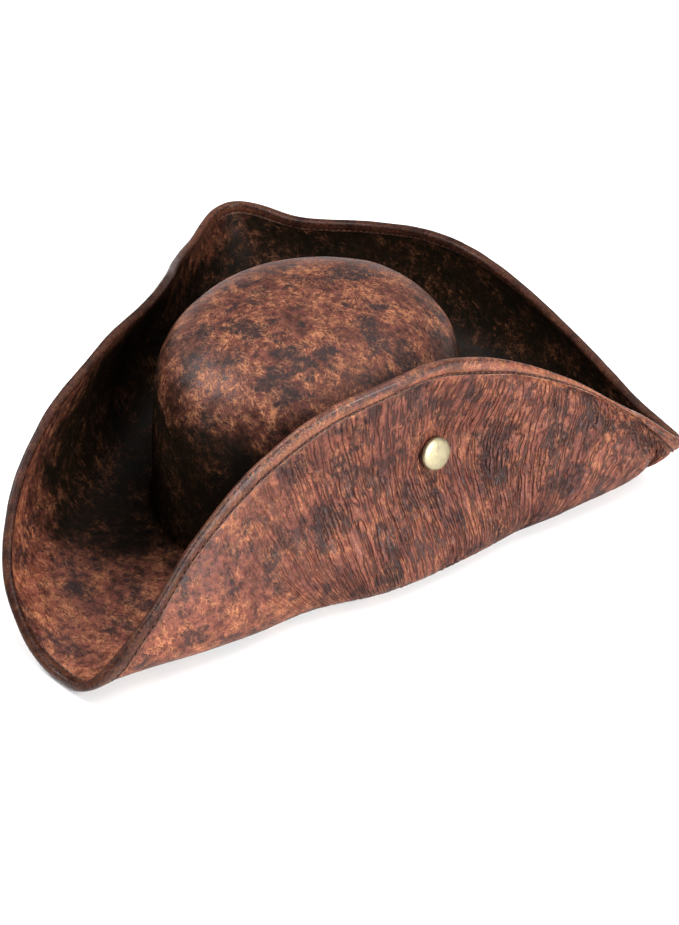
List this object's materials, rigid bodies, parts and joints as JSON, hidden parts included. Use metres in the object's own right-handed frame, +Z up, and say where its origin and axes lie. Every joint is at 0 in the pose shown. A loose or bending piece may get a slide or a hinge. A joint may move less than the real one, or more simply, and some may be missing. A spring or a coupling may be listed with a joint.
{
  "type": "tricorn hat",
  "caption": "Brown leather tricorn hat: domed hollow crown, brim turned up in three flaps with a bound edge, one brass snap.",
  "frame": {"origin": "middle of the hat's box, on the floor that the brim rests on", "axes": "+Z up, -Y towards the wearer's front, +X towards the wearer's left, where the snap is"},
  "size_m": [0.3582, 0.405, 0.1329],
  "materials": {
    "crown_leather": "distressed, satin",
    "brim_leather": "distressed, satin",
    "binding_leather": "rubbed, satin",
    "brass": "polished"
  },
  "bodies": {
    "root": {"crown": "crown_leather", "brim": "brim_leather", "edge_binding": "binding_leather", "snap_cap": "brass", "snap_post": "brass"}
  },
  "joints": []
}
